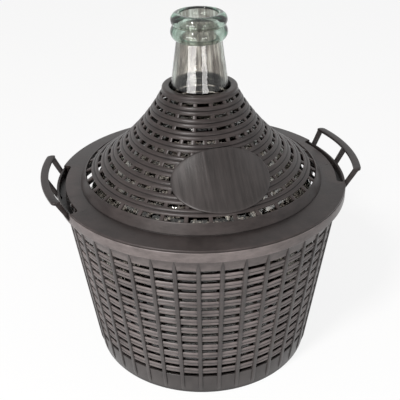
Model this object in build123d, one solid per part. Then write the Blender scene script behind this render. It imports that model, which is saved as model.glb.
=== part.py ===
from build123d import *
import os
from math import atan2, cos, degrees, hypot, radians, sin

os.makedirs("parts", exist_ok=True)

# A demijohn: a glass bottle in a moulded basket, with a moulded cover over its shoulder.
# All sizes are in millimetres. The handles lie on the X axis and the plate faces -Y.

# Basket wall, measured to its outer face. Its rings have flats, with corners under the ribs
wall_sides = 40
foot_radius = 121.0
wall_top_radius = 147.4
wall_height = 190.0
wall_thickness = 2.4
slot_rows = 13
slot_pitch = 12.0
slot_height = 4.6
lowest_slot = 27.8

# Upright ribs over the slats, here on every second corner of the real one's forty
rib_every = 2
rib_width = 4.2
rib_proud = 1.2
rib_bite = 0.1
rib_foot = 4.0
rib_fade = 7.0
rib_top_space = 5.0

# Floor, raised a little on a standing ring
floor_thickness = 3.0
floor_lift = 2.0
standing_width = 9.0

# Rim: a ledge that turns out from the wall, and a band that stands on it
rim_radius = 155.0
rim_thickness = 2.6
rim_height = 10.5
ledge_thickness = 2.4

# Handles: three legs and a flat strap, on both sides
strap_inner = 162.0
strap_outer = 170.0
strap_thickness = 3.2
strap_rise = 16.5
strap_half_angle = 19.5
strap_corner = 5.0
leg_width = 4.6
leg_foot_depth = 4.8
leg_head_depth = 6.0

# Cover, measured to its outer face. Its rings have flats, with corners at the bars
cover_sides = 24
cover_turn = 3.4
cover_thickness = 2.4
seat_gap = 0.2
flange_inset = 0.5
flange_thickness = 2.2
locating_gap = 0.6
locating_depth = 6.0
locating_thickness = 2.0
notch_side_gap = 4.0
notch_radius = 145.3
notch_corner = 4.0
shoulder_radius = 129.2
shoulder_step = 1.2
shoulder_height = 10.5
cone_radius = 124.1
throat_radius = 38.7
throat_height = 301.8
cone_sag = 8.6

# Collar at the top of the cover
collar_bore = 31.5
collar_radius = 38.9
collar_height = 305.3
collar_depth = 5.0
collar_round = 2.4

# Bars behind the cover's bands, here on every second corner
bar_every = 2
bar_width = 4.2
bar_sunk = 0.9
bar_behind = 0.8
bar_hold = 1.0
bar_bends = 5

# Slots of the cover, in rows down its slope
cover_rows = 10
narrow_rows = 3
first_row = 4.1
row_pitch = 12.0
row_growth = 0.224
narrow_slot = 3.2
wide_slot = 4.0
last_slot = 6.6

# Oval plate on the cover
plate_width = 104.0
plate_height = 68.0
plate_along = 81.4
plate_side = 3.0
plate_proud = 1.2
plate_sunk = 1.6

# Glass bottle
glass = 3.0
belly_radius = 130.0
belly_height = 142.0
rest_radius = 88.0
heel_round = 30.0
punt_radius = 62.0
punt_rise = 9.0
dome_round = 113.0
neck_round = 18.0
neck_base_radius = 28.4
neck_base_height = 313.0
neck_top_radius = 23.0
neck_top_height = 351.8
mouth_radius = 19.5
collar_ring_radius = 28.4
collar_ring_height = 358.4
groove_radius = 25.9
groove_height = 366.6
bead_radius = 28.0
bead_height = 373.4
mouth_height = 378.8
lip_radius = 23.2

# Places that follow from these sizes
rim_top = wall_height + rim_height
floor_top = floor_lift + floor_thickness
flange_bottom = rim_top + seat_gap
flange_top = flange_bottom + flange_thickness
flange_radius = rim_radius - flange_inset
cone_height = flange_top + shoulder_height
corner_turn = 180 / wall_sides


def wall_radius(height):
    """Outer radius of the basket wall at a height above the table."""
    return foot_radius + (wall_top_radius - foot_radius) * height / wall_height


def ring_of_flats(section, sides, turn):
    """Turns an (r, z) section, listed anticlockwise, into a ring with flat sides."""
    corners = []
    for number in range(sides):
        angle = radians(turn + number * 360 / sides)
        corners.append([(r * cos(angle), r * sin(angle), z) for r, z in section])
    faces = []
    for number in range(sides):
        near = corners[number]
        far = corners[(number + 1) % sides]
        for edge in range(len(section)):
            after = (edge + 1) % len(section)
            quad = (near[edge], far[edge], far[after], near[after])
            faces.append(Face(Wire.make_polygon(quad)))
    return Solid(Shell(faces))


def upright_plate(section, width, angle):
    """A plate of the given (radius, height) outline, set radially at an angle."""
    face = Plane.XZ * make_face(Polyline(*section, close=True))
    return Rot(0, 0, angle) * extrude(face, width / 2, both=True)


def wall_slats():
    """The slats, one over each row of slots but the last."""
    slats = []
    for row in range(slot_rows - 1):
        low = lowest_slot + row * slot_pitch + slot_height / 2
        high = low + slot_pitch - slot_height
        section = [
            (wall_radius(low), low),
            (wall_radius(high), high),
            (wall_radius(high) - wall_thickness, high),
            (wall_radius(low) - wall_thickness, low),
        ]
        slats.append(ring_of_flats(section, wall_sides, corner_turn))
    return slats


def foot():
    """The plain foot of the wall, down to the table, and the floor inside it."""
    top = lowest_slot - slot_height / 2
    section = [
        (foot_radius - standing_width, 0),
        (foot_radius, 0),
        (wall_radius(top), top),
        (wall_radius(top) - wall_thickness, top),
        (wall_radius(floor_top) - wall_thickness, floor_top),
        (foot_radius - standing_width, floor_top),
    ]
    ring = ring_of_flats(section, wall_sides, corner_turn)
    outline = RegularPolygon(foot_radius - standing_width / 2, wall_sides, rotation=corner_turn)
    return [ring, Pos(0, 0, floor_lift) * extrude(outline, floor_thickness)]


def rim():
    """The plain top of the wall, the ledge on it, and the band round the ledge."""
    low = lowest_slot + (slot_rows - 1) * slot_pitch + slot_height / 2
    ledge_top = wall_height + ledge_thickness
    section = [
        (wall_radius(low), low),
        (wall_top_radius, wall_height),
        (rim_radius, wall_height),
        (rim_radius, rim_top),
        (rim_radius - rim_thickness, rim_top),
        (rim_radius - rim_thickness, ledge_top),
        (wall_top_radius - wall_thickness, ledge_top),
        (wall_radius(low) - wall_thickness, low),
    ]
    return ring_of_flats(section, wall_sides, corner_turn)


def wall_rib(angle):
    """One upright rib, which fades into the plain zone at its top."""
    top = wall_height - rib_top_space
    fade = top - rib_fade
    section = [
        (wall_radius(rib_foot) - rib_bite, rib_foot),
        (wall_radius(rib_foot) + rib_proud, rib_foot + rib_proud),
        (wall_radius(fade) + rib_proud, fade),
        (wall_radius(top) - rib_bite, top),
    ]
    return upright_plate(section, rib_width, angle)


def handle(side):
    """One handle: a flat strap, bent to the rim's round, on three leaning legs."""
    strap_top = rim_top + strap_rise
    strap_bottom = strap_top - strap_thickness
    section = [
        (strap_inner, strap_bottom),
        (strap_outer, strap_bottom),
        (strap_outer, strap_top),
        (strap_inner, strap_top),
    ]
    face = Plane.XZ * make_face(Polyline(*section, close=True))
    strap = revolve(Rot(0, 0, -strap_half_angle) * face, Axis.Z, 2 * strap_half_angle)
    ends = strap.edges().filter_by(Axis.Z)
    outer = ends.filter_by(lambda e: hypot(e.center().X, e.center().Y) > strap_outer - 1)
    strap = fillet(outer, strap_corner)
    foot_outer = rim_radius - rim_thickness / 2
    leg = [
        (foot_outer - leg_foot_depth, wall_height),
        (foot_outer, wall_height),
        (strap_inner + leg_head_depth, strap_bottom + strap_thickness / 2),
        (strap_inner, strap_bottom + strap_thickness / 2),
    ]
    end_angle = strap_half_angle - degrees(leg_width / 2 / strap_inner)
    body = strap
    for angle in (-end_angle, 0, end_angle):
        body += upright_plate(leg, leg_width, angle)
    return Rot(0, 0, side) * body


def basket():
    """The whole basket, moulded in one piece."""
    side = 360 / wall_sides
    ribs = [wall_rib(corner_turn + n * side) for n in range(0, wall_sides, rib_every)]
    return Part() + wall_slats() + ribs + foot() + [rim(), handle(0), handle(180)]


def cone_arc():
    """Centre, radius and end angles of the hollow curve down the cover's slope."""
    run = cone_radius - throat_radius
    drop = cone_height - throat_height
    chord = hypot(run, drop)
    radius = (chord * chord / 4 + cone_sag * cone_sag) / (2 * cone_sag)
    reach = radius - cone_sag
    middle = ((cone_radius + throat_radius) / 2, (cone_height + throat_height) / 2)
    centre = (middle[0] - drop / chord * reach, middle[1] + run / chord * reach)
    start = atan2(throat_height - centre[1], throat_radius - centre[0])
    end = atan2(cone_height - centre[1], cone_radius - centre[0])
    return centre, radius, start, end


def cone_point(along, depth=0.0):
    """A point of the slope, so far down from the throat and so deep under its face."""
    centre, radius, start, end = cone_arc()
    angle = start + along / radius
    reach = radius + depth
    return (centre[0] + reach * cos(angle), centre[1] + reach * sin(angle))


def slot_spans():
    """Upper and lower edge of each row of slots, measured down the slope."""
    spans = []
    for row in range(cover_rows):
        middle = first_row + row * row_pitch + row_growth * row * (row - 1) / 2
        height = narrow_slot if row < narrow_rows else wide_slot
        height = last_slot if row == cover_rows - 1 else height
        spans.append((middle - height / 2, middle + height / 2))
    return spans


def cone_bands():
    """The bands between the rows of slots."""
    spans = slot_spans()
    bands = []
    for above, below in zip(spans, spans[1:]):
        section = [
            cone_point(below[0]),
            cone_point(above[1]),
            cone_point(above[1], cover_thickness),
            cone_point(below[0], cover_thickness),
        ]
        bands.append(ring_of_flats(section, cover_sides, cover_turn))
    return bands


def collar():
    """The ring that stands round the bottle's neck, down to the first row of slots."""
    along = slot_spans()[0][0]
    section = [
        cone_point(along),
        (collar_radius, throat_height),
        (collar_radius, collar_height - collar_round),
        (collar_radius - collar_round, collar_height),
        (collar_bore, collar_height),
        (collar_bore, collar_height - collar_depth),
        cone_point(along, cover_thickness),
    ]
    return ring_of_flats(section, cover_sides, cover_turn)


def shoulder():
    """The plain shoulder, the flange on the rim, and the ring that centres it."""
    along = slot_spans()[-1][1]
    inner = shoulder_radius - cover_thickness
    locating_outer = rim_radius - rim_thickness - locating_gap
    locating_inner = locating_outer - locating_thickness
    locating_bottom = flange_bottom - locating_depth
    section = [
        cone_point(along),
        cone_point(along, cover_thickness),
        (inner, flange_top),
        (inner, flange_bottom),
        (locating_inner, flange_bottom),
        (locating_inner, locating_bottom),
        (locating_outer, locating_bottom),
        (locating_outer, flange_bottom),
        (flange_radius, flange_bottom),
        (flange_radius, flange_top),
        (shoulder_radius, flange_top),
        (shoulder_radius, flange_top + shoulder_step),
        (cone_radius, cone_height),
    ]
    return ring_of_flats(section, cover_sides, cover_turn)


def cone_bar(angle):
    """One bar behind the bands, from the collar down to the shoulder."""
    spans = slot_spans()
    first = spans[0][0] - bar_hold
    last = spans[-1][1] + bar_hold
    stops = [first + (last - first) * n / bar_bends for n in range(bar_bends + 1)]
    front = [cone_point(along, bar_sunk) for along in stops]
    back = [cone_point(along, cover_thickness + bar_behind) for along in stops]
    return upright_plate(front + back[::-1], bar_width, angle)


def notch(side):
    """The opening in the flange that lets one handle's legs through."""
    half_angle = strap_half_angle + degrees(notch_side_gap / rim_radius)
    depth = locating_depth + flange_thickness + 2 * seat_gap
    bottom = flange_top - depth
    outer = rim_radius + notch_corner
    section = [
        (notch_radius, bottom),
        (outer, bottom),
        (outer, flange_top + seat_gap),
        (notch_radius, flange_top + seat_gap),
    ]
    face = Plane.XZ * make_face(Polyline(*section, close=True))
    block = revolve(Rot(0, 0, -half_angle) * face, Axis.Z, 2 * half_angle)
    ends = block.edges().filter_by(Axis.Z)
    inner = ends.filter_by(lambda e: hypot(e.center().X, e.center().Y) < notch_radius + 1)
    return Rot(0, 0, side) * fillet(inner, notch_corner)


def plate():
    """The smooth oval plate, which follows the cover's slope."""
    reach = plate_height / 2 + cover_thickness
    low = plate_along + reach
    high = plate_along - reach
    front = [cone_point(along, -plate_proud) for along in (high, plate_along, low)]
    back = [cone_point(along, plate_sunk) for along in (low, plate_along, high)]
    outline = ThreePointArc(*front) + Line(front[-1], back[0])
    outline += ThreePointArc(*back) + Line(back[-1], front[0])
    shell = revolve(Plane.XZ * make_face(outline), Axis.Z)
    radius, height = cone_point(plate_along)
    before = Vector(*cone_point(plate_along - 1))
    after = Vector(*cone_point(plate_along + 1))
    down = (after - before).normalized()
    face = Plane(origin=(radius, 0, height), x_dir=(0, 1, 0), z_dir=(-down.Y, 0, down.X))
    oval = extrude(face * Ellipse(plate_width / 2, plate_height / 2), reach, both=True)
    side_angle = degrees(plate_side / radius)
    return Rot(0, 0, side_angle - 90) * (shell & oval)


def cover():
    """The whole cover, moulded in one piece."""
    side = 360 / cover_sides
    bars = [cone_bar(cover_turn + n * side) for n in range(0, cover_sides, bar_every)]
    body = Part() + cone_bands() + bars + [collar(), shoulder(), plate()]
    return body - [notch(0), notch(180)]


def tangent_side(inset):
    """Radius of the side's long curve, tangent to the heel and upright at the belly."""
    rise = belly_height - floor_top - heel_round
    run = belly_radius - rest_radius
    return (run * run + rise * rise - heel_round * heel_round) / (2 * (run - heel_round)) - inset


def neck_line(height):
    """Outer radius of the neck's plain cone at a height."""
    slope = (neck_base_radius - neck_top_radius) / (neck_top_height - neck_base_height)
    return neck_top_radius + slope * (neck_top_height - height)


def neck_fillet(inset):
    """Centre of the hollow curve between neck and dome, and where it meets both."""
    slope = (neck_base_radius - neck_top_radius) / (neck_top_height - neck_base_height)
    lean = hypot(1, slope)
    hollow = neck_round + inset
    dome_centre = (belly_radius - dome_round, belly_height)
    reach = dome_round + neck_round
    low = belly_height
    high = neck_top_height
    for _ in range(60):
        height = (low + high) / 2
        radius = neck_line(height) + neck_round * lean
        if hypot(radius - dome_centre[0], height - dome_centre[1]) < reach:
            low = height
        else:
            high = height
    centre = (radius, height)
    on_neck = (radius - hollow / lean, height - hollow * slope / lean)
    share = (dome_round - inset) / reach
    on_dome = tuple(a + (b - a) * share for a, b in zip(dome_centre, centre))
    return centre, hollow, on_neck, on_dome


def middle_of_arc(centre, radius, start, end):
    """The point halfway along the shorter arc between two points."""
    middle = Vector((start[0] + end[0]) / 2 - centre[0], (start[1] + end[1]) / 2 - centre[1])
    middle = middle.normalized() * radius
    return (centre[0] + middle.X, centre[1] + middle.Y)


def body_curves(inset):
    """The bottle's body from the edge of the punt up to the neck, inset from its outer face."""
    side_radius = tangent_side(0)
    side_centre = (belly_radius - side_radius, belly_height)
    heel_centre = (rest_radius, floor_top + heel_round)
    toward = Vector(heel_centre[0] - side_centre[0], heel_centre[1] - side_centre[1]).normalized()
    heel = heel_round - inset
    rest = (rest_radius, floor_top + inset)
    on_side = (heel_centre[0] + toward.X * heel, heel_centre[1] + toward.Y * heel)
    belly = (belly_radius - inset, belly_height)
    dome_centre = (belly_radius - dome_round, belly_height)
    hollow_centre, hollow, on_neck, on_dome = neck_fillet(inset)
    side = side_radius - inset
    dome = dome_round - inset
    return [
        ThreePointArc(rest, middle_of_arc(heel_centre, heel, rest, on_side), on_side),
        ThreePointArc(on_side, middle_of_arc(side_centre, side, on_side, belly), belly),
        ThreePointArc(belly, middle_of_arc(dome_centre, dome, belly, on_dome), on_dome),
        ThreePointArc(on_dome, middle_of_arc(hollow_centre, hollow, on_dome, on_neck), on_neck),
    ]


def finish_curves(start):
    """The outside of the neck and its two rings, up to the lip."""
    neck = (neck_top_radius, neck_top_height)
    groove = (groove_radius, groove_height)
    lip = (lip_radius, mouth_height)
    return [
        Line(start, neck),
        ThreePointArc(neck, (collar_ring_radius, collar_ring_height), groove),
        ThreePointArc(groove, (bead_radius, bead_height), lip),
    ]


def glass_bottle():
    """The blown bottle: heel, belly, dome, neck and a finish with two rings."""
    outside = body_curves(0)
    inside = body_curves(glass)
    outer_start = outside[0] @ 0
    inner_start = inside[0] @ 0
    punt_top = floor_top + punt_rise
    neck_end = inside[-1] @ 1
    throat_height_in = neck_top_height - (mouth_radius + glass - neck_top_radius)
    inner_throat = (mouth_radius, throat_height_in)
    outline = outside + finish_curves(outside[-1] @ 1)
    outline += [
        Line((lip_radius, mouth_height), (mouth_radius, mouth_height)),
        Line((mouth_radius, mouth_height), inner_throat),
        Line(inner_throat, neck_end),
    ]
    outline += inside
    outline += [
        Line(inner_start, (punt_radius, floor_top + glass)),
        Line((punt_radius, floor_top + glass), (0, punt_top + glass)),
        Line((0, punt_top + glass), (0, punt_top)),
        Line((0, punt_top), (punt_radius, floor_top)),
        Line((punt_radius, floor_top), outer_start),
    ]
    return revolve(Plane.XZ * make_face(outline), Axis.Z)


nodes = {"basket": basket(), "cover": cover(), "glass_bottle": glass_bottle()}
for name, shape in nodes.items():
    export_step(shape, f"parts/{name}.step")
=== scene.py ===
from math import atan2, cos, degrees, hypot, pi, radians, sin, sqrt

import bmesh
import bpy
from mathutils import Matrix, Vector


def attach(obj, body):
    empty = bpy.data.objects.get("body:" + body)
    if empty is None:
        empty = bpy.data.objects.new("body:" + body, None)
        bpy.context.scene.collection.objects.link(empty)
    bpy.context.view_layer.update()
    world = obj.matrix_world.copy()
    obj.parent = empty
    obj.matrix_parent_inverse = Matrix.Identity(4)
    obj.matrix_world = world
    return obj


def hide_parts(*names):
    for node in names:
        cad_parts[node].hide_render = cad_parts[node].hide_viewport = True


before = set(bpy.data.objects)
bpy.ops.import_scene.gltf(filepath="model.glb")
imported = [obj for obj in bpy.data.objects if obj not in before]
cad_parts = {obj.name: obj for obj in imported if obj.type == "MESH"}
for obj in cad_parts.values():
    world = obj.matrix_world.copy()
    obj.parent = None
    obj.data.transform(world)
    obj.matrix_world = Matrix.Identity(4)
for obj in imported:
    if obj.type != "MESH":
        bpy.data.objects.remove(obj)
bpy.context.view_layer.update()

# Sizes in metres, angles in degrees, in the frame of the part: handles on the X axis, plate towards -Y
MM = 0.001

# Basket wall: slats between rows of slots, plain foot and plain top
FOOT_RADIUS = 0.1210
WALL_TOP_RADIUS = 0.1474
WALL_HEIGHT = 0.190
WALL_THICKNESS = 0.0024
SLOT_ROWS = 13
SLOT_PITCH = 0.012
SLOT_HEIGHT = 0.0046
LOWEST_SLOT = 0.0278
FLOOR_LIFT = 0.002
FLOOR_THICKNESS = 0.003
FLOOR_LAP = 0.001
FLOOR_SUNK = 0.0001
FLOOR_HOLE = 0.0002
STANDING_WIDTH = 0.009

# Reeds: each slat and each band of the cover has two rounded ones
REED_COUNT = 2
REED_PROUD = 0.0011
REED_FULLNESS = 0.96
BACK_EDGE_SHARE = 0.7
BACK_INSET_SHARE = 0.12

# Upright ribs of the wall
RIB_COUNT = 40
RIB_WIDTH = 0.0042
RIB_END_SHARE = 0.25
RIB_PROUD = 0.0012
RIB_LEAST_PROUD = 0.00005
RIB_DEPTH_SHARE = 0.98
RIB_FOOT = 0.0035
RIB_START = 0.002
RIB_TOP_SPACE = 0.005
RIB_FADE = 0.010
RIB_FADE_POWER = 0.7
RIB_EDGE = 0.0009

# Rim of the basket
RIM_RADIUS = 0.155
RIM_THICKNESS = 0.0026
RIM_HEIGHT = 0.0105
LEDGE_THICKNESS = 0.0024

# Handles: a bent strap on three legs
STRAP_INNER = 0.162
STRAP_OUTER = 0.170
STRAP_THICKNESS = 0.0032
STRAP_RISE = 0.0165
STRAP_HALF_ANGLE = 19.5
STRAP_CORNER = 0.005
LEG_WIDTH = 0.0046
LEG_FOOT_DEPTH = 0.0048
LEG_HEAD_DEPTH = 0.006
LEG_HEAD_INSET = 0.0002

# Cover: collar, hollow-curved slope, shoulder, flange and locating ring
COVER_THICKNESS = 0.0024
SEAT_GAP = 0.0002
FLANGE_INSET = 0.0005
FLANGE_THICKNESS = 0.0022
LOCATING_GAP = 0.0006
LOCATING_DEPTH = 0.006
LOCATING_THICKNESS = 0.002
SHOULDER_RADIUS = 0.1292
SHOULDER_STEP = 0.0012
SHOULDER_HEIGHT = 0.0105
CONE_RADIUS = 0.1241
THROAT_RADIUS = 0.0387
THROAT_HEIGHT = 0.3018
CONE_SAG = 0.0086
COLLAR_BORE = 0.0315
COLLAR_RADIUS = 0.0389
COLLAR_HEIGHT = 0.3053
COLLAR_DEPTH = 0.005
COLLAR_SUNK = 0.0004

# Notches of the flange, one for each handle
NOTCH_SIDE_GAP = 0.004
NOTCH_RADIUS = 0.1453
NOTCH_CORNER = 0.004
NOTCH_BEYOND = 0.01

# Slots and bars of the cover, from the throat down the slope
COVER_ROWS = 10
NARROW_ROWS = 3
FIRST_ROW = 0.0041
ROW_PITCH = 0.012
ROW_GROWTH = 0.000224
NARROW_SLOT = 0.0032
WIDE_SLOT = 0.0040
LAST_SLOT = 0.0066
BAR_COUNT = 32
BAR_TURN = 3.4
BAR_WIDTH = 0.0040
BAR_SUNK = 0.0009
BAR_BEHIND = 0.0002
BAR_OVERLAP = 0.001
BAR_EDGE = 0.0006

# Oval plate
PLATE_WIDTH = 0.104
PLATE_HEIGHT = 0.068
PLATE_ALONG = 0.0814
PLATE_SIDE = 0.003
PLATE_PROUD = 0.0012
PLATE_THICKNESS = 0.0026

# Bottle
GLASS = 0.003
BELLY_RADIUS = 0.130
BELLY_HEIGHT = 0.142
REST_RADIUS = 0.088
HEEL_ROUND = 0.030
PUNT_RADIUS = 0.062
PUNT_RISE = 0.009
DOME_ROUND = 0.113
NECK_ROUND = 0.018
NECK_BASE_RADIUS = 0.0284
NECK_BASE_HEIGHT = 0.313
NECK_TOP_RADIUS = 0.023
NECK_TOP_HEIGHT = 0.3518
NECK_BEND = 0.001
NECK_EASE = 0.0001
MOUTH_RADIUS = 0.0195
COLLAR_RING_RADIUS = 0.0284
COLLAR_RING_HEIGHT = 0.3584
GROOVE_RADIUS = 0.0259
GROOVE_HEIGHT = 0.3666
BEAD_RADIUS = 0.028
BEAD_HEIGHT = 0.3734
MOUTH_HEIGHT = 0.3788
LIP_RADIUS = 0.0232

# Roundings of moulded edges
STEP_EDGE = 0.0003
COVER_EDGE = 0.0004
THIN_EDGE = 0.0005
SOFT_EDGE = 0.0006
STRAP_EDGE = 0.0007
TOP_EDGE = 0.0008
BAND_EDGE = 0.0009
HOLLOW_EDGE = 0.001
BROAD_EDGE = 0.0012
COLLAR_EDGE = 0.0026
SHOULDER_EDGE = 0.004

# Steps of the curved forms
TURN_STEPS = 192
BOTTLE_TURN_STEPS = 144
CORNER_STEPS = 5
SECTION_CORNER_STEPS = 3
REED_STEPS = 8
RIB_STEPS = 24
STRAP_STEPS = 48
LEG_STEPS = 6
BAR_STEPS = 24
NOTCH_FAR_STEPS = 8
NOTCH_NEAR_STEPS = 24
NOTCH_CORNER_STEPS = 6
PLATE_STEPS = 128
PUNT_STEPS = 8
BODY_STEPS = 18
FINISH_STEPS = 14
HALVINGS = 60

# Meshes: edges sharper than these angles stay sharp, and points closer than the distance are joined
SHARP_ANGLE = 32
GLASS_SHARP_ANGLE = 50
JOIN_DISTANCE = 1e-7

# Finish of the plastic: shares of its two noises, and the ranges that tone, gloss, scuffed edges with
# painted highlight, and painted shade in grooves and crevices follow
FLOW_SHARE = 0.55
RUBBED_SHARE = 0.45
TONE_RANGE = (0.36, 0.70)
NOISE_RANGE = (0.35, 0.65)
ROUGHNESS_RANGE = (0.27, 0.42)
WEAR_AND_PAINTED_LIGHT_RANGE = (0.46, 0.54)
PAINTED_CREVICE_SHADE_RANGE = (0.30, 0.85)
PAINTED_SHADE_REACH = 0.007
PAINTED_SHADE_SAMPLES = 6
PAINTED_CREVICE_SHADE = 0.06
PLASTIC_REFRACTION = 1.46

# Finish of the glass: its streaks, and the green tint of its thick places
STREAK_RANGE = (0.41, 0.59)
STREAK_DARK = (0.26, 0.215, 0.20)
STREAK_LIGHT = (0.84, 0.775, 0.74)
GLASS_GREEN = (0.40, 0.78, 0.66, 1)
GLASS_DENSITY = 45.0
GLASS_REFRACTION = 1.5

# Studio
FLOOR_HALF = 6.0
FLOOR_GREY = 0.86
FLOOR_WHITE = 0.86
WORLD_LIGHT = 0.3
BELLY_POINT = (0, 0, 0.17)
NECK_POINT = (0, 0, 0.30)

# Camera at the photograph's angle, found from the round rim, ring lines and mouth
CAMERA_PLACE = (-0.1497, -0.6976, 0.5672)
CAMERA_AHEAD = (0.1816, 0.8546, -0.4865)
CAMERA_ROLL = -0.81
CAMERA_LENS = 66.32
CAMERA_SENSOR = 36
CAMERA_NEAREST = 0.01

# Places that follow from these sizes
FLOOR_TOP = FLOOR_LIFT + FLOOR_THICKNESS
STANDING_INNER = FOOT_RADIUS - STANDING_WIDTH
RIB_TOP = WALL_HEIGHT - RIB_TOP_SPACE
RIM_TOP = WALL_HEIGHT + RIM_HEIGHT
RIM_INNER = RIM_RADIUS - RIM_THICKNESS
RIM_MIDDLE = RIM_RADIUS - RIM_THICKNESS / 2
STRAP_TOP = RIM_TOP + STRAP_RISE
STRAP_BOTTOM = STRAP_TOP - STRAP_THICKNESS
FLANGE_BOTTOM = RIM_TOP + SEAT_GAP
FLANGE_TOP = FLANGE_BOTTOM + FLANGE_THICKNESS
FLANGE_RADIUS = RIM_RADIUS - FLANGE_INSET
LOCATING_BOTTOM = FLANGE_BOTTOM - LOCATING_DEPTH
CONE_HEIGHT = FLANGE_TOP + SHOULDER_HEIGHT
NOTCH_HALF_ANGLE = STRAP_HALF_ANGLE + degrees(NOTCH_SIDE_GAP / RIM_RADIUS)


def tidy(mesh):
    """Joins points that lie together and turns every face outward."""
    work = bmesh.new()
    work.from_mesh(mesh)
    bmesh.ops.remove_doubles(work, verts=work.verts, dist=JOIN_DISTANCE)
    bmesh.ops.dissolve_degenerate(work, edges=work.edges, dist=JOIN_DISTANCE)
    bmesh.ops.recalc_face_normals(work, faces=work.faces)
    work.to_mesh(mesh)
    work.free()


def smooth(mesh, sharp):
    """Shades a mesh smooth but for the edges sharper than an angle."""
    mesh.shade_smooth()
    mesh.set_sharp_from_angle(angle=radians(sharp))


def in_scene(name, data):
    """A new object in the scene, with the mesh, lamp or camera it shows."""
    made = bpy.data.objects.new(name, data)
    bpy.context.scene.collection.objects.link(made)
    return made


def piece(name, points, faces, material, body, node, sharp=SHARP_ANGLE):
    """Makes one mesh of the object, smooth but for its sharp edges, ties it to its body and hides the part
    of model.glb that it stands for.
    """
    mesh = bpy.data.meshes.new(name)
    mesh.from_pydata(points, [], faces)
    mesh.validate()
    tidy(mesh)
    smooth(mesh, sharp)
    mesh.materials.append(material)
    made = in_scene(name, mesh)
    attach(made, body)
    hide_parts(node)
    return made


def rounded(corners, steps=CORNER_STEPS):
    """An outline of (r, z, radius) corners, each corner turned into a small arc."""
    nearly_straight = pi - 0.02
    longest_cut = 0.49
    outline = []
    count = len(corners)
    for number in range(count):
        here = Vector(corners[number][:2])
        back = Vector(corners[number - 1][:2]) - here
        on = Vector(corners[(number + 1) % count][:2]) - here
        radius = corners[number][2]
        angle = back.angle(on)
        if radius <= 0 or angle > nearly_straight:
            outline.append(tuple(here))
            continue
        reach = radius / sin(angle / 2)
        cut = min(reach * cos(angle / 2), back.length * longest_cut, on.length * longest_cut)
        radius = cut * sin(angle / 2) / cos(angle / 2)
        centre = here + (back.normalized() + on.normalized()).normalized() * radius / sin(angle / 2)
        first = here + back.normalized() * cut - centre
        last = here + on.normalized() * cut - centre
        turn = atan2(first.x * last.y - first.y * last.x, first.dot(last))
        for step in range(steps + 1):
            part = turn * step / steps
            along, up = cos(part), sin(part)
            spoke = Vector((first.x * along - first.y * up, first.x * up + first.y * along))
            outline.append(tuple(centre + spoke))
    return outline


def lathe(outlines):
    """Turns closed (r, z) outlines round the Z axis."""
    points, faces = [], []
    for outline in outlines:
        start = len(points)
        count = len(outline)
        for step in range(TURN_STEPS):
            angle = 2 * pi * step / TURN_STEPS
            points += [(r * cos(angle), r * sin(angle), z) for r, z in outline]
        for step in range(TURN_STEPS):
            near = start + step * count
            far = start + (step + 1) % TURN_STEPS * count
            for edge in range(count):
                after = (edge + 1) % count
                faces.append((near + edge, far + edge, far + after, near + after))
    return points, faces


def closed_lathe(outline):
    """Turns an outline whose two ends lie on the Z axis round that axis."""
    steps = BOTTLE_TURN_STEPS
    points, faces = [(0, 0, outline[0][1])], []
    inner = outline[1:-1]
    count = len(inner)
    for step in range(steps):
        angle = 2 * pi * step / steps
        points += [(r * cos(angle), r * sin(angle), z) for r, z in inner]
    points.append((0, 0, outline[-1][1]))
    last = len(points) - 1
    for step in range(steps):
        near = 1 + step * count
        far = 1 + (step + 1) % steps * count
        faces.append((0, far, near))
        for edge in range(count - 1):
            faces.append((near + edge, far + edge, far + edge + 1, near + edge + 1))
        faces.append((near + count - 1, far + count - 1, last))
    return points, faces


def bars(sets):
    """Bars that run through stations, each a list of corners. Both ends are closed."""
    points, faces = [], []
    for stations in sets:
        start = len(points)
        count = len(stations[0])
        for station in stations:
            points += station
        for row in range(len(stations) - 1):
            near = start + row * count
            far = near + count
            for edge in range(count):
                after = (edge + 1) % count
                faces.append((near + edge, near + after, far + after, far + edge))
        faces.append(tuple(start + count - 1 - edge for edge in range(count)))
        last = start + (len(stations) - 1) * count
        faces.append(tuple(last + edge for edge in range(count)))
    return points, faces


def turned_point(angle, r, side, z):
    """A point at radius r and sideways offset side, in the direction of an angle."""
    turn = radians(angle)
    return (r * cos(turn) - side * sin(turn), r * sin(turn) + side * cos(turn), z)


def bar_station(angle, front, back, width, soft):
    """Corners of one section of a bar: square behind, soft at the two front edges."""
    bevel_share = 0.3
    most_of_depth = 0.8
    most_of_half = 0.9
    half = width / 2
    depth = Vector(back) - Vector(front)
    down = depth.normalized() * min(soft, depth.length * most_of_depth)
    soft = min(soft, half * most_of_half)
    low = tuple(Vector(front) + down)
    bevel = tuple(Vector(front) + down * bevel_share)
    edge = [(back, half), (low, half), (bevel, half - soft * bevel_share), (front, half - soft)]
    outline = [(place, -side) for place, side in edge] + edge[::-1]
    return [turned_point(angle, place[0], side, place[1]) for place, side in outline]


def reeded(face, low, high, thickness):
    """Outline of a band with rounded reeds. face gives the (r, z) at a height and a depth."""
    outline = []
    width = (high - low) / REED_COUNT
    for reed in range(REED_COUNT):
        for step in range(REED_STEPS + (reed == REED_COUNT - 1)):
            across = 2 * step / REED_STEPS - 1
            along = low + (reed + (across + 1) / 2) * width
            depth = REED_PROUD * (1 - sqrt(1 - across * across * REED_FULLNESS))
            outline.append(face(along, depth))
    inset = BACK_INSET_SHARE * (high - low)
    outline.append(face(high, thickness * BACK_EDGE_SHARE))
    outline.append(face(high - inset, thickness))
    outline.append(face(low + inset, thickness))
    outline.append(face(low, thickness * BACK_EDGE_SHARE))
    return outline


def wall_radius(height):
    """Outer radius of the basket wall at a height above the table."""
    return FOOT_RADIUS + (WALL_TOP_RADIUS - FOOT_RADIUS) * height / WALL_HEIGHT


def wall_face(height, depth):
    """A point of the wall, so high and so deep under its outer face."""
    return (wall_radius(height) - depth, height)


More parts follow.
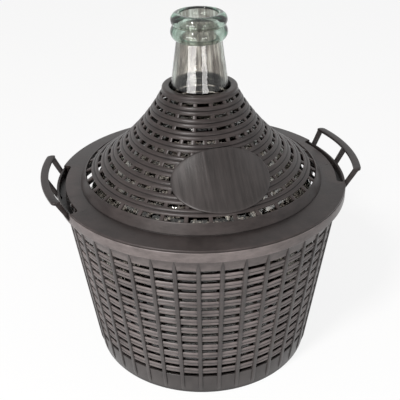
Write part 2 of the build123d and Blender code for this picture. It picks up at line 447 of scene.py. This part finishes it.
def cone_arc():
    """Centre, radius and first angle of the hollow curve down the cover's slope."""
    run = CONE_RADIUS - THROAT_RADIUS
    drop = CONE_HEIGHT - THROAT_HEIGHT
    chord = hypot(run, drop)
    radius = (chord * chord / 4 + CONE_SAG * CONE_SAG) / (2 * CONE_SAG)
    reach = radius - CONE_SAG
    middle = ((CONE_RADIUS + THROAT_RADIUS) / 2, (CONE_HEIGHT + THROAT_HEIGHT) / 2)
    centre = (middle[0] - drop / chord * reach, middle[1] + run / chord * reach)
    start = atan2(THROAT_HEIGHT - centre[1], THROAT_RADIUS - centre[0])
    return centre, radius, start


def cone_face(along, depth):
    """A point of the cover, so far down its slope from the throat and so deep under its face."""
    centre, radius, start = cone_arc()
    angle = start + along / radius
    return (centre[0] + (radius + depth) * cos(angle), centre[1] + (radius + depth) * sin(angle))


def slot_spans():
    """Upper and lower edge of each row of the cover's slots, measured down the slope."""
    spans = []
    for row in range(COVER_ROWS):
        middle = FIRST_ROW + row * ROW_PITCH + ROW_GROWTH * row * (row - 1) / 2
        height = NARROW_SLOT if row < NARROW_ROWS else WIDE_SLOT
        height = LAST_SLOT if row == COVER_ROWS - 1 else height
        spans.append((middle - height / 2, middle + height / 2))
    return spans


def nodes_of(owner):
    """Empties the node tree of a material or world, and gives what adds a node and what links two."""
    owner.use_nodes = True
    tree = owner.node_tree
    tree.nodes.clear()

    def add(kind, second=None, **values):
        """A node with its settings and input values. second is the value of its second input."""
        node = tree.nodes.new(kind)
        for key, value in values.items():
            if hasattr(node, key):
                setattr(node, key, value)
            else:
                node.inputs[key.replace("_", " ")].default_value = value
        if second is not None:
            node.inputs[1].default_value = second
        return node

    return add, tree.links.new


def colour_ramp(add, places, dark, light):
    """A ramp from a dark colour at the first of two places to a light one at the second."""
    ramp = add("ShaderNodeValToRGB")
    for end, place, colour in zip(ramp.color_ramp.elements, places, (dark, light)):
        end.position = place
        end.color = (*colour, 1)
    return ramp


def remapped(add, before, after):
    """A node that maps one range onto another. Each is its lowest and highest value."""
    return add(
        "ShaderNodeMapRange", From_Min=before[0], From_Max=before[1], To_Min=after[0], To_Max=after[1]
    )


def plastic_shade(add, link, wear_and_painted_light):
    """How light the plastic's colour is at a point: lighter on edges, partly from scuffing and partly
    painted highlight, and darker in grooves and crevices, which is painted shade.
    """
    shape = add("ShaderNodeNewGeometry")
    # Painted light: pointiness makes edges and reed crests lighter, partly scuffing and partly painted
    # highlight, and the grooves between reeds darker, which is painted shade.
    wear_and_painted_light_tone = remapped(add, WEAR_AND_PAINTED_LIGHT_RANGE, (1 - wear_and_painted_light, 1 + wear_and_painted_light))
    # Painted shade: occlusion darkens crevices, such as the grooves between reeds, the sides of ribs and
    # the wall under the rim's ledge.
    painted_crevice_shade_node = add("ShaderNodeAmbientOcclusion", samples=PAINTED_SHADE_SAMPLES, Distance=PAINTED_SHADE_REACH)
    dark = remapped(add, PAINTED_CREVICE_SHADE_RANGE, (PAINTED_CREVICE_SHADE, 1.0))
    amount = add("ShaderNodeMath", operation="MULTIPLY")
    link(shape.outputs["Pointiness"], wear_and_painted_light_tone.inputs["Value"])
    link(painted_crevice_shade_node.outputs["AO"], dark.inputs["Value"])
    link(dark.outputs["Result"], amount.inputs[0])
    link(wear_and_painted_light_tone.outputs["Result"], amount.inputs[1])
    return amount.outputs["Value"]


def moulded_plastic(name, dark, light, gloss, wear_and_painted_light, streak=(1.0, 1.0, 2.5), ripple=0.25):
    """Satin black plastic: a fine moulded grain, faint flow marks, rubbed places, edges lighter from
    scuffing and painted highlight, and painted shade in grooves and crevices.
    """
    material = bpy.data.materials.new(name)
    add, link = nodes_of(material)
    place = add("ShaderNodeTexCoord")
    stretch = add("ShaderNodeMapping", Scale=streak)
    flow = add("ShaderNodeTexNoise", Scale=60.0, Detail=6.0, Roughness=0.65)
    rubbed = add("ShaderNodeTexNoise", Scale=9.0, Detail=3.0, Roughness=0.6)
    grain = add("ShaderNodeTexNoise", Scale=1100.0, Detail=3.0, Roughness=0.6)
    rubbed_part = add("ShaderNodeMath", RUBBED_SHARE, operation="MULTIPLY")
    both = add("ShaderNodeMath", FLOW_SHARE, operation="MULTIPLY_ADD")
    tone = colour_ramp(add, TONE_RANGE, dark, light)
    rough = remapped(add, NOISE_RANGE, ROUGHNESS_RANGE)
    shaded = add("ShaderNodeVectorMath", operation="SCALE")
    ripples = add("ShaderNodeBump", Strength=ripple, Distance=0.0008)
    grained = add("ShaderNodeBump", Strength=0.30, Distance=0.0002)
    shader = add("ShaderNodeBsdfPrincipled", IOR=PLASTIC_REFRACTION, Specular_IOR_Level=gloss)
    out = add("ShaderNodeOutputMaterial")
    link(place.outputs["Object"], stretch.inputs["Vector"])
    link(stretch.outputs["Vector"], flow.inputs["Vector"])
    link(place.outputs["Object"], rubbed.inputs["Vector"])
    link(place.outputs["Object"], grain.inputs["Vector"])
    link(rubbed.outputs["Fac"], rubbed_part.inputs[0])
    link(flow.outputs["Fac"], both.inputs[0])
    link(rubbed_part.outputs["Value"], both.inputs[2])
    link(both.outputs["Value"], tone.inputs["Fac"])
    link(both.outputs["Value"], rough.inputs["Value"])
    link(tone.outputs["Color"], shaded.inputs[0])
    # The base colour is scaled by the painted shade of crevices and grooves and by the lighter,
    # painted-highlit edges.
    link(plastic_shade(add, link, wear_and_painted_light), shaded.inputs["Scale"])
    link(shaded.outputs["Vector"], shader.inputs["Base Color"])
    link(rough.outputs["Result"], shader.inputs["Roughness"])
    link(flow.outputs["Fac"], ripples.inputs["Height"])
    link(ripples.outputs["Normal"], grained.inputs["Normal"])
    link(grain.outputs["Fac"], grained.inputs["Height"])
    link(grained.outputs["Normal"], shader.inputs["Normal"])
    link(shader.outputs["BSDF"], out.inputs["Surface"])
    return material


def bottle_glass(name):
    """Clear blown glass: faint upright ripples, and a green tint where it is thick."""
    material = bpy.data.materials.new(name)
    add, link = nodes_of(material)
    place = add("ShaderNodeTexCoord")
    stretch = add("ShaderNodeMapping", Scale=(1.0, 1.0, 0.10))
    ripple = add("ShaderNodeTexNoise", Scale=150.0, Detail=3.0, Roughness=0.55)
    wave = add("ShaderNodeTexNoise", Scale=26.0, Detail=1.0, Roughness=0.4)
    tone = colour_ramp(add, STREAK_RANGE, STREAK_DARK, STREAK_LIGHT)
    waved = add("ShaderNodeBump", Strength=0.35, Distance=0.0012)
    rippled = add("ShaderNodeBump", Strength=0.30, Distance=0.0008)
    shader = add("ShaderNodeBsdfPrincipled", Roughness=0.015, IOR=GLASS_REFRACTION, Transmission_Weight=1.0)
    absorb = add("ShaderNodeVolumeAbsorption", Density=GLASS_DENSITY, Color=GLASS_GREEN)
    out = add("ShaderNodeOutputMaterial")
    link(place.outputs["Object"], stretch.inputs["Vector"])
    link(stretch.outputs["Vector"], ripple.inputs["Vector"])
    link(place.outputs["Object"], wave.inputs["Vector"])
    link(ripple.outputs["Fac"], tone.inputs["Fac"])
    link(tone.outputs["Color"], shader.inputs["Base Color"])
    link(wave.outputs["Fac"], waved.inputs["Height"])
    link(waved.outputs["Normal"], rippled.inputs["Normal"])
    link(ripple.outputs["Fac"], rippled.inputs["Height"])
    link(rippled.outputs["Normal"], shader.inputs["Normal"])
    link(shader.outputs["BSDF"], out.inputs["Surface"])
    link(absorb.outputs["Volume"], out.inputs["Volume"])
    return material


# Materials
# The basket's plastic is lighter than the cover's: partly a lighter moulded finish, partly painted light
# that makes the wall brighter than the flange.
basket_plastic = moulded_plastic(
    "basket_plastic",
    dark=(0.040, 0.0335, 0.0325),
    light=(0.118, 0.100, 0.097),
    gloss=0.42,
    wear_and_painted_light=0.75,
)
rib_plastic = moulded_plastic(
    "rib_plastic",
    dark=(0.028, 0.0245, 0.024),
    light=(0.064, 0.057, 0.055),
    gloss=0.38,
    wear_and_painted_light=0.15,
    streak=(1.0, 1.0, 0.5),
)
handle_plastic = moulded_plastic(
    "handle_plastic",
    dark=(0.009, 0.0068, 0.0064),
    light=(0.032, 0.0255, 0.0245),
    gloss=0.28,
    wear_and_painted_light=0.3,
)
cover_plastic = moulded_plastic(
    "cover_plastic",
    dark=(0.011, 0.0082, 0.0077),
    light=(0.036, 0.0285, 0.0272),
    gloss=0.29,
    wear_and_painted_light=0.6,
)
plate_plastic = moulded_plastic(
    "plate_plastic",
    dark=(0.012, 0.0098, 0.0093),
    light=(0.044, 0.0375, 0.0362),
    gloss=0.32,
    wear_and_painted_light=0.3,
    streak=(4.0, 0.3, 0.3),
    ripple=0.35,
)
glass = bottle_glass("bottle_glass")


def add_basket(name, points, faces, material=basket_plastic):
    """One piece of the basket."""
    return piece(name, points, faces, material, "basket", "basket")


def add_cover(name, points, faces, material=cover_plastic):
    """One piece of the cover."""
    return piece(name, points, faces, material, "cover", "cover")


def add_slats():
    """Basket: the reeded slats between the rows of slots."""
    slats = []
    for row in range(SLOT_ROWS - 1):
        low = LOWEST_SLOT + row * SLOT_PITCH + SLOT_HEIGHT / 2
        slats.append(reeded(wall_face, low, low + SLOT_PITCH - SLOT_HEIGHT, WALL_THICKNESS))
    add_basket("basket_slats", *lathe(slats))


def add_foot():
    """Basket: the plain foot below the slots, with the ring that it stands on."""
    top = LOWEST_SLOT - SLOT_HEIGHT / 2
    foot = rounded([
        (STANDING_INNER, 0, SOFT_EDGE),
        (FOOT_RADIUS, 0, BROAD_EDGE),
        (wall_radius(top), top, THIN_EDGE),
        (wall_radius(top) - WALL_THICKNESS, top, THIN_EDGE),
        (wall_radius(FLOOR_TOP) - WALL_THICKNESS, FLOOR_TOP, HOLLOW_EDGE),
        (STANDING_INNER, FLOOR_TOP, 0),
    ])
    add_basket("basket_foot", *lathe([foot]), rib_plastic)


def add_floor():
    """Basket: the flat floor, whose edge lies in the standing ring."""
    outer = STANDING_INNER + FLOOR_LAP
    top = FLOOR_TOP - FLOOR_SUNK
    disc = [(FLOOR_HOLE, FLOOR_LIFT), (outer, FLOOR_LIFT), (outer, top), (FLOOR_HOLE, top)]
    add_basket("basket_floor", *lathe([disc]))


def rib_station(angle, z):
    """Section of a rib at a height: it rises quickly at its foot and fades out at its top."""
    fade = min(1.0, (RIB_TOP - z) / RIB_FADE)
    begin = min(1.0, (z - RIB_FOOT) / RIB_START)
    proud = RIB_PROUD * min(begin, fade ** RIB_FADE_POWER) + RIB_LEAST_PROUD
    width = RIB_WIDTH * (RIB_END_SHARE + (1 - RIB_END_SHARE) * fade)
    front = (wall_radius(z) + proud, z)
    back = (wall_radius(z) - WALL_THICKNESS * RIB_DEPTH_SHARE, z)
    return bar_station(angle, front, back, width, RIB_EDGE)


def add_ribs():
    """Basket: the upright ribs that hold the slats."""
    heights = [RIB_FOOT + (RIB_TOP - RIB_FOOT) * step / RIB_STEPS for step in range(RIB_STEPS + 1)]
    ribs = []
    for number in range(RIB_COUNT):
        angle = (number + 0.5) * 360 / RIB_COUNT
        ribs.append([rib_station(angle, z) for z in heights])
    add_basket("basket_ribs", *bars(ribs), rib_plastic)


def add_rim():
    """Basket: the plain top of the wall, the ledge and the band, whose inside is darker: painted shade,
    given by the darker handle plastic.
    """
    low = LOWEST_SLOT + (SLOT_ROWS - 1) * SLOT_PITCH + SLOT_HEIGHT / 2
    ledge_top = WALL_HEIGHT + LEDGE_THICKNESS
    rim = rounded([
        (wall_radius(low), low, THIN_EDGE),
        (WALL_TOP_RADIUS, WALL_HEIGHT, SOFT_EDGE),
        (RIM_RADIUS, WALL_HEIGHT, BAND_EDGE),
        (RIM_RADIUS, RIM_TOP, TOP_EDGE),
        (RIM_INNER, RIM_TOP, SOFT_EDGE),
        (RIM_INNER, ledge_top, SOFT_EDGE),
        (WALL_TOP_RADIUS - WALL_THICKNESS, ledge_top, HOLLOW_EDGE),
        (wall_radius(low) - WALL_THICKNESS, low, THIN_EDGE),
    ])
    made = add_basket("basket_rim", *lathe([rim]))
    # Painted shade: faces inside the band and on the ledge take the darker handle plastic.
    made.data.materials.append(handle_plastic)
    for face in made.data.polygons:
        reach = hypot(face.center.x, face.center.y)
        if face.center.z > WALL_HEIGHT + MM and reach < RIM_MIDDLE:
            face.material_index = 1


def strap_stations(side):
    """Sections of the strap along its round, narrower at the ends for the round corners."""
    stations = []
    for step in range(STRAP_STEPS + 1):
        share = 1 - cos(pi * step / STRAP_STEPS)
        angle = -STRAP_HALF_ANGLE + STRAP_HALF_ANGLE * share
        from_end = radians(STRAP_HALF_ANGLE - abs(angle)) * STRAP_OUTER
        into = max(0.0, STRAP_CORNER - from_end)
        outer = STRAP_OUTER - STRAP_CORNER + sqrt(STRAP_CORNER ** 2 - into ** 2)
        section = rounded([
            (STRAP_INNER, STRAP_BOTTOM, STRAP_EDGE),
            (outer, STRAP_BOTTOM, STRAP_EDGE),
            (outer, STRAP_TOP, BAND_EDGE),
            (STRAP_INNER, STRAP_TOP, BAND_EDGE),
        ], SECTION_CORNER_STEPS)
        stations.append([turned_point(side + angle, r, 0, z) for r, z in section])
    return stations


def leg_stations(angle):
    """Sections of one leg, from its foot inside the band up into the strap."""
    head = STRAP_BOTTOM + STRAP_THICKNESS / 2
    half = LEG_WIDTH / 2
    stations = []
    for step in range(LEG_STEPS + 1):
        share = step / LEG_STEPS
        z = WALL_HEIGHT + (head - WALL_HEIGHT) * share
        outer = RIM_MIDDLE + (STRAP_INNER + LEG_HEAD_DEPTH - RIM_MIDDLE) * share
        inner = RIM_MIDDLE - LEG_FOOT_DEPTH
        inner += (STRAP_INNER + LEG_HEAD_INSET - inner) * share
        corners = [(inner, -half), (outer, -half), (outer, half), (inner, half)]
        section = rounded([(*corner, STRAP_EDGE) for corner in corners], SECTION_CORNER_STEPS)
        stations.append([turned_point(angle, r, offset, z) for r, offset in section])
    return stations


def add_handle(name, side):
    """One handle of the basket: the strap, a leg at each end and one in the middle."""
    end_angle = STRAP_HALF_ANGLE - degrees(LEG_WIDTH / 2 / STRAP_INNER)
    sets = [strap_stations(side)]
    sets += [leg_stations(side + angle) for angle in (-end_angle, 0, end_angle)]
    add_basket(name, *bars(sets), handle_plastic)


def add_bands():
    """Cover: the reeded bands between the rows of slots."""
    spans = slot_spans()
    bands = []
    for above, below in zip(spans, spans[1:]):
        bands.append(reeded(cone_face, above[1], below[0], COVER_THICKNESS))
    add_cover("cover_bands", *lathe(bands))


def add_collar():
    """Cover: the collar round the neck, above the first row of slots."""
    top_slot = slot_spans()[0][0]
    collar = rounded([
        (*cone_face(top_slot, COVER_THICKNESS), COVER_EDGE),
        (*cone_face(top_slot, 0), COVER_EDGE),
        (COLLAR_RADIUS, THROAT_HEIGHT - COLLAR_SUNK, SOFT_EDGE),
        (COLLAR_RADIUS, COLLAR_HEIGHT, COLLAR_EDGE),
        (COLLAR_BORE, COLLAR_HEIGHT, BROAD_EDGE),
        (COLLAR_BORE, COLLAR_HEIGHT - COLLAR_DEPTH, SOFT_EDGE),
    ])
    add_cover("cover_collar", *lathe([collar]))


def add_bars():
    """Cover: the bars behind the bands. Every second one starts below the narrow slots."""
    spans = slot_spans()
    lower = spans[-1][1] + BAR_OVERLAP
    sets = []
    for number in range(BAR_COUNT):
        angle = BAR_TURN + number * 360 / BAR_COUNT
        first_row = 0 if number % 2 == 0 else NARROW_ROWS
        upper = spans[first_row][0] - BAR_OVERLAP
        stations = []
        for step in range(BAR_STEPS + 1):
            along = upper + (lower - upper) * step / BAR_STEPS
            front = cone_face(along, BAR_SUNK)
            back = cone_face(along, COVER_THICKNESS + BAR_BEHIND)
            stations.append(bar_station(angle, front, back, BAR_WIDTH, BAR_EDGE))
        sets.append(stations[::-1])
    add_cover("cover_bars", *bars(sets))


def notch_corner(side, end, step):
    """A point, as radius and angle, of the round corner at one end of a notch."""
    turn = pi / 2 * step / NOTCH_CORNER_STEPS
    r = NOTCH_RADIUS + NOTCH_CORNER * (1 - sin(turn))
    across = radians(NOTCH_HALF_ANGLE) - NOTCH_CORNER / NOTCH_RADIUS * (1 - cos(turn))
    return (r, radians(side) + end * across)


def notch_outline(side):
    """A notch in radius and angle: its far side, one corner, its near side and the other corner."""
    far = RIM_RADIUS + NOTCH_BEYOND
    straight = radians(NOTCH_HALF_ANGLE) - NOTCH_CORNER / NOTCH_RADIUS
    outline = []
    for step in range(NOTCH_FAR_STEPS + 1):
        share = step / NOTCH_FAR_STEPS
        outline.append((far, radians(side - NOTCH_HALF_ANGLE + 2 * NOTCH_HALF_ANGLE * share)))
    outline += [notch_corner(side, 1, step) for step in range(NOTCH_CORNER_STEPS + 1)]
    for step in range(1, NOTCH_NEAR_STEPS):
        across = straight * (1 - 2 * step / NOTCH_NEAR_STEPS)
        outline.append((NOTCH_RADIUS, radians(side) + across))
    outline += [notch_corner(side, -1, step) for step in range(NOTCH_CORNER_STEPS, -1, -1)]
    return outline


def cut_notch(target, name, side):
    """Cuts one notch through a piece."""
    outline = notch_outline(side)
    count = len(outline)
    low = [(r * cos(turn), r * sin(turn), LOCATING_BOTTOM - MM) for r, turn in outline]
    high = [(r * cos(turn), r * sin(turn), FLANGE_TOP + MM) for r, turn in outline]
    sides = [(n, (n + 1) % count, count + (n + 1) % count, count + n) for n in range(count)]
    caps = [tuple(range(count - 1, -1, -1)), tuple(range(count, 2 * count))]
    mesh = bpy.data.meshes.new(name)
    mesh.from_pydata(low + high, [], sides + caps)
    tidy(mesh)
    cutter = in_scene(name, mesh)
    cut = target.modifiers.new(name, "BOOLEAN")
    cut.operation = "DIFFERENCE"
    cut.solver = "EXACT"
    cut.object = cutter
    bpy.context.view_layer.objects.active = target
    bpy.ops.object.modifier_apply(modifier=name)
    bpy.data.objects.remove(cutter)


def add_flange():
    """Cover: the shoulder, the flange on the rim and the locating ring, with a notch at each handle."""
    last_slot = slot_spans()[-1][1]
    locating_outer = RIM_INNER - LOCATING_GAP
    locating_inner = locating_outer - LOCATING_THICKNESS
    shoulder_inner = SHOULDER_RADIUS - COVER_THICKNESS
    flange = rounded([
        (*cone_face(last_slot, 0), COVER_EDGE),
        (*cone_face(last_slot, COVER_THICKNESS), COVER_EDGE),
        (shoulder_inner, FLANGE_TOP, HOLLOW_EDGE),
        (shoulder_inner, FLANGE_BOTTOM, COVER_EDGE),
        (locating_inner, FLANGE_BOTTOM, COVER_EDGE),
        (locating_inner, LOCATING_BOTTOM, COVER_EDGE),
        (locating_outer, LOCATING_BOTTOM, COVER_EDGE),
        (locating_outer, FLANGE_BOTTOM, COVER_EDGE),
        (FLANGE_RADIUS, FLANGE_BOTTOM, THIN_EDGE),
        (FLANGE_RADIUS, FLANGE_TOP, TOP_EDGE),
        (SHOULDER_RADIUS, FLANGE_TOP, STEP_EDGE),
        (SHOULDER_RADIUS, FLANGE_TOP + SHOULDER_STEP, COVER_EDGE),
        (CONE_RADIUS, CONE_HEIGHT, SHOULDER_EDGE),
    ])
    made = add_cover("cover_flange", *lathe([flange]))
    for name, side in (("notch_right", 0), ("notch_left", 180)):
        cut_notch(made, name, side)
    smooth(made.data, SHARP_ANGLE)


def plate_rings():
    """Rings of the plate as a share of the oval's reach and a depth: face, soft edge, back."""
    face = [(share, 0.0) for share in (0.0, 0.25, 0.5, 0.75, 0.9, 0.965)]
    edge = [(0.985, 0.0001), (0.996, 0.0004), (1.0, 0.0008), (1.0, 0.0024)]
    back = [(share, PLATE_THICKNESS) for share in (0.9, 0.5, 0.0)]
    return face + edge + back


def plate_point(share, turn, depth):
    """A point of the plate, by its share of the oval's reach and its direction."""
    along = PLATE_ALONG + share * PLATE_HEIGHT / 2 * sin(turn)
    r, z = cone_face(along, depth)
    middle_r = cone_face(PLATE_ALONG, 0)[0]
    side = PLATE_SIDE + share * PLATE_WIDTH / 2 * cos(turn)
    angle = side / (0.5 * middle_r + 0.5 * r) - pi / 2
    return (r * cos(angle), r * sin(angle), z)


def add_plate():
    """Cover: the bare oval plate, which follows the slope."""
    rings = plate_rings()
    points, faces = [], []
    for share, drop in rings:
        for step in range(PLATE_STEPS):
            points.append(plate_point(share, 2 * pi * step / PLATE_STEPS, drop - PLATE_PROUD))
    for row in range(len(rings) - 1):
        near, far = row * PLATE_STEPS, (row + 1) * PLATE_STEPS
        for step in range(PLATE_STEPS):
            after = (step + 1) % PLATE_STEPS
            faces.append((near + step, near + after, far + after, far + step))
    add_cover("cover_plate", points, faces, plate_plastic)


def arc_points(centre, radius, first, last, steps):
    """Points of an arc from its first angle up to, but without, its last one."""
    points = []
    for step in range(steps):
        angle = first + (last - first) * step / steps
        points.append((centre[0] + radius * cos(angle), centre[1] + radius * sin(angle)))
    return points


def arc_through(first, middle, last, steps):
    """Points of the arc from one (r, z) point through a second one up to, but without, a third."""
    a, b, c = Vector(first), Vector(middle), Vector(last)
    spread = 2 * (a.x * (b.y - c.y) + b.x * (c.y - a.y) + c.x * (a.y - b.y))
    x = (a.dot(a) * (b.y - c.y) + b.dot(b) * (c.y - a.y) + c.dot(c) * (a.y - b.y)) / spread
    y = (a.dot(a) * (c.x - b.x) + b.dot(b) * (a.x - c.x) + c.dot(c) * (b.x - a.x)) / spread
    radius = (a - Vector((x, y))).length
    return arc_points((x, y), radius, atan2(a.y - y, a.x - x), atan2(c.y - y, c.x - x), steps)


def neck_hollow(dome_centre, slope):
    """Centre of the hollow round that touches both the dome and the tapered neck, by halving."""
    lean = hypot(1, slope)
    low, high = BELLY_HEIGHT, NECK_TOP_HEIGHT
    for _ in range(HALVINGS):
        height = (low + high) / 2
        radius = NECK_TOP_RADIUS + slope * (NECK_TOP_HEIGHT - height) + NECK_ROUND * lean
        away = (Vector((radius, height)) - dome_centre).length
        low, high = (height, high) if away < DOME_ROUND + NECK_ROUND else (low, height)
    return Vector((radius, height))


def body_outline(inset):
    """The bottle's body from the rest ring up to the neck, inset from its outer face."""
    rise = BELLY_HEIGHT - FLOOR_TOP - HEEL_ROUND
    out = BELLY_RADIUS - REST_RADIUS
    side_radius = (out ** 2 + rise ** 2 - HEEL_ROUND ** 2) / (2 * (out - HEEL_ROUND))
    slope = (NECK_BASE_RADIUS - NECK_TOP_RADIUS) / (NECK_TOP_HEIGHT - NECK_BASE_HEIGHT)
    heel_centre = Vector((REST_RADIUS, FLOOR_TOP + HEEL_ROUND))
    side_centre = Vector((BELLY_RADIUS - side_radius, BELLY_HEIGHT))
    dome_centre = Vector((BELLY_RADIUS - DOME_ROUND, BELLY_HEIGHT))
    hollow_centre = neck_hollow(dome_centre, slope)
    to_heel = heel_centre - side_centre
    to_dome = dome_centre - hollow_centre
    neck_angle = atan2(-slope, -1)
    arcs = [
        (heel_centre, HEEL_ROUND - inset, -pi / 2, atan2(to_heel.y, to_heel.x)),
        (side_centre, side_radius - inset, atan2(to_heel.y, to_heel.x), 0.0),
        (dome_centre, DOME_ROUND - inset, 0.0, atan2(-to_dome.y, -to_dome.x)),
        (hollow_centre, NECK_ROUND + inset, atan2(to_dome.y, to_dome.x), neck_angle),
    ]
    outline = []
    for centre, radius, first, last in arcs:
        if last - first > pi:
            last -= 2 * pi
        if first - last > pi:
            last += 2 * pi
        outline += arc_points(centre, radius, first, last, BODY_STEPS)
    return outline + arc_points(hollow_centre, NECK_ROUND + inset, neck_angle, neck_angle, 1)


def finish_outline():
    """The ring and the bead at the mouth, each an arc through its widest point."""
    neck_top = (NECK_TOP_RADIUS, NECK_TOP_HEIGHT)
    ring = (COLLAR_RING_RADIUS, COLLAR_RING_HEIGHT)
    groove = (GROOVE_RADIUS, GROOVE_HEIGHT)
    bead = (BEAD_RADIUS, BEAD_HEIGHT)
    lip = (LIP_RADIUS, MOUTH_HEIGHT)
    outline = arc_through(neck_top, ring, groove, FINISH_STEPS)
    return outline + arc_through(groove, bead, lip, FINISH_STEPS) + [lip]


def punt_outline():
    """The rise in the bottle's bottom, from its middle out to where it runs flat."""
    outline = []
    for step in range(PUNT_STEPS + 1):
        share = step / PUNT_STEPS
        rise = PUNT_RISE * (0.5 + 0.5 * cos(pi * share))
        outline.append((PUNT_RADIUS * share, FLOOR_TOP + rise))
    return outline


def mouth_outline():
    """The mouth from the soft inner edge of the lip down the bore to where the neck widens."""
    bore_end = NECK_TOP_HEIGHT - (MOUTH_RADIUS + GLASS - NECK_TOP_RADIUS)
    soft_edge = [(0.0012, 0.0001), (0.0003, 0.0006), (0.0, 0.0015)]
    outline = [(MOUTH_RADIUS + out, MOUTH_HEIGHT - down) for out, down in soft_edge]
    outline.append((MOUTH_RADIUS, bore_end + NECK_BEND))
    outline.append((MOUTH_RADIUS + NECK_EASE, bore_end - NECK_BEND))
    return outline


def add_bottle():
    """Bottle: one closed skin, from the middle of the punt outside to the middle inside."""
    punt = punt_outline()
    outline = punt + body_outline(0) + finish_outline() + mouth_outline()
    outline += body_outline(GLASS)[::-1]
    outline += [(r, z + GLASS) for r, z in punt[::-1]]
    points, faces = closed_lathe(outline)
    piece(
        "bottle_body", points, faces, glass, "basket", "glass_bottle", GLASS_SHARP_ANGLE
    )


def background_rays(add, link):
    """Whether a ray comes from the camera, a mirroring face or the glass, as 0 or 1."""
    paths = add("ShaderNodeLightPath")
    total = paths.outputs["Is Camera Ray"]
    for kind in ("Is Transmission Ray", "Is Glossy Ray"):
        larger = add("ShaderNodeMath", operation="MAXIMUM")
        link(total, larger.inputs[0])
        link(paths.outputs[kind], larger.inputs[1])
        total = larger.outputs["Value"]
    return total


def floor_finish():
    """White where it is seen, with part of its shade from the lamps, so that it keeps the shadow."""
    material = bpy.data.materials.new("studio_floor")
    add, link = nodes_of(material)
    shade = add("ShaderNodeBsdfDiffuse", Color=(FLOOR_GREY, FLOOR_GREY, FLOOR_GREY, 1))
    white = add("ShaderNodeEmission", Strength=1.0)
    share = add("ShaderNodeMath", FLOOR_WHITE, operation="MULTIPLY")
    mix = add("ShaderNodeMixShader")
    out = add("ShaderNodeOutputMaterial")
    link(background_rays(add, link), share.inputs[0])
    link(share.outputs["Value"], mix.inputs["Fac"])
    link(shade.outputs["BSDF"], mix.inputs[1])
    link(white.outputs["Emission"], mix.inputs[2])
    link(mix.outputs["Shader"], out.inputs["Surface"])
    return material


def add_studio_floor():
    """The white floor that the object stands on."""
    edge = FLOOR_HALF
    corners = [(-edge, -edge, 0), (edge, -edge, 0), (edge, edge, 0), (-edge, edge, 0)]
    mesh = bpy.data.meshes.new("studio_floor")
    mesh.from_pydata(corners, [], [(0, 1, 2, 3)])
    mesh.materials.append(floor_finish())
    studio_floor = in_scene("studio_floor", mesh)


def add_world():
    """The world: white where it is seen, softer as light."""
    world = bpy.data.worlds.new("studio")
    bpy.context.scene.world = world
    add, link = nodes_of(world)
    soft = add("ShaderNodeBackground", Color=(1, 1, 1, 1), Strength=WORLD_LIGHT)
    white = add("ShaderNodeBackground", Color=(1, 1, 1, 1), Strength=1.0)
    mix = add("ShaderNodeMixShader")
    out = add("ShaderNodeOutputWorld")
    link(background_rays(add, link), mix.inputs["Fac"])
    link(soft.outputs["Background"], mix.inputs[1])
    link(white.outputs["Background"], mix.inputs[2])
    link(mix.outputs["Shader"], out.inputs["Surface"])


def area_lamp(name, place, target, size, power, colour):
    """A soft rectangular lamp that faces a point."""
    lamp = bpy.data.lights.new(name, "AREA")
    lamp.shape = "RECTANGLE"
    lamp.size, lamp.size_y = size
    lamp.energy = power
    lamp.color = colour
    made = in_scene(name, lamp)
    made.location = place
    toward = Vector(target) - Vector(place)
    made.rotation_euler = toward.to_track_quat("-Z", "Y").to_euler()


def add_lamps():
    """A key from the front left, two low boxes that draw the upright glints on the neck, a fill."""
    area_lamp(
        "key", place=(-1.11, -1.15, 1.82), target=BELLY_POINT, size=(0.35, 0.35), power=50,
        colour=(1.0, 0.975, 0.96),
    )
    area_lamp(
        "low_left", place=(-0.93, -0.91, 0.27), target=NECK_POINT, size=(0.85, 0.24), power=7.5,
        colour=(1.0, 0.98, 0.965),
    )
    area_lamp(
        "low_right", place=(0.19, -1.29, 0.27), target=NECK_POINT, size=(0.42, 0.24), power=3.2,
        colour=(1.0, 0.985, 0.97),
    )
    area_lamp(
        "fill", place=(1.8, -0.6, 1.3), target=BELLY_POINT, size=(1.0, 1.0), power=5,
        colour=(0.97, 0.98, 1.0),
    )


def add_camera():
    """The camera at the photograph's angle, with its small roll."""
    camera_data = bpy.data.cameras.new("camera")
    camera_data.sensor_width = CAMERA_SENSOR
    camera_data.lens = CAMERA_LENS
    camera_data.clip_start = CAMERA_NEAREST
    camera = in_scene("camera", camera_data)
    ahead = Vector(CAMERA_AHEAD).normalized()
    right = ahead.cross(Vector((0, 0, 1))).normalized()
    above = right.cross(ahead)
    roll = radians(CAMERA_ROLL)
    right, above = right * cos(roll) + above * sin(roll), above * cos(roll) - right * sin(roll)
    turn = Matrix((right, above, -ahead)).transposed()
    camera.matrix_world = Matrix.Translation(CAMERA_PLACE) @ turn.to_4x4()
    bpy.context.scene.camera = camera


# Basket
add_slats()
add_foot()
add_floor()
add_ribs()
add_rim()
add_handle("handle_right", 0)
add_handle("handle_left", 180)

# Cover
add_bands()
add_collar()
add_bars()
add_flange()
add_plate()

# Bottle
add_bottle()

# Studio
add_studio_floor()
add_world()
add_lamps()
add_camera()

bpy.context.scene.view_settings.view_transform = "Standard"
